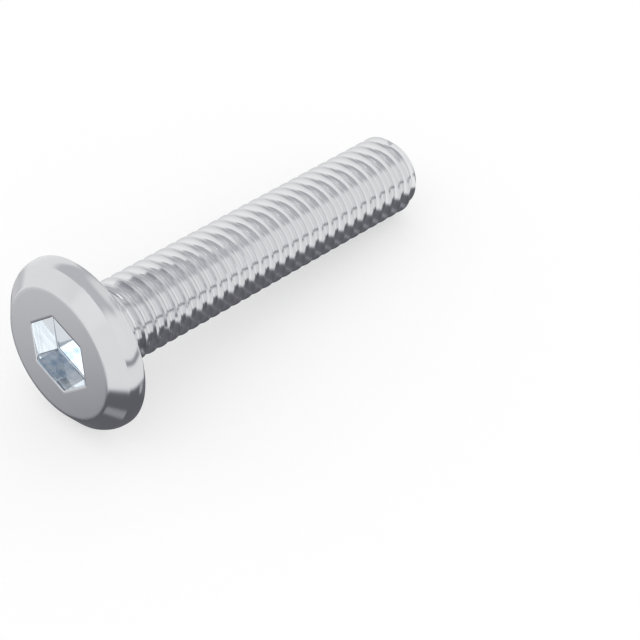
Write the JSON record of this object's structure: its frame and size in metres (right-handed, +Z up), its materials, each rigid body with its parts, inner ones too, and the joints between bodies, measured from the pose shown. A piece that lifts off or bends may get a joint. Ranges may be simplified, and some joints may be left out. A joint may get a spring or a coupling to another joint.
{
  "type": "locking screw",
  "caption": "Low flat-head screw with a bevelled rim, hexagon socket, short flared neck, full-length right-hand thread and a cupped tip.",
  "frame": {"origin": "under the middle of the screw, on the surface it lies on", "axes": "+X along the screw as it lies, head at -X and tip at +X; the axis dips towards the tip because the head rim is wider than the thread; +Z up"},
  "size_m": [0.0332, 0.0124, 0.0125],
  "materials": {
    "plated_steel": "bright nickel-like plating, smooth rolled thread, fine turning marks on the head"
  },
  "bodies": {
    "root": {"locking_screw": "plated_steel"}
  },
  "joints": []
}
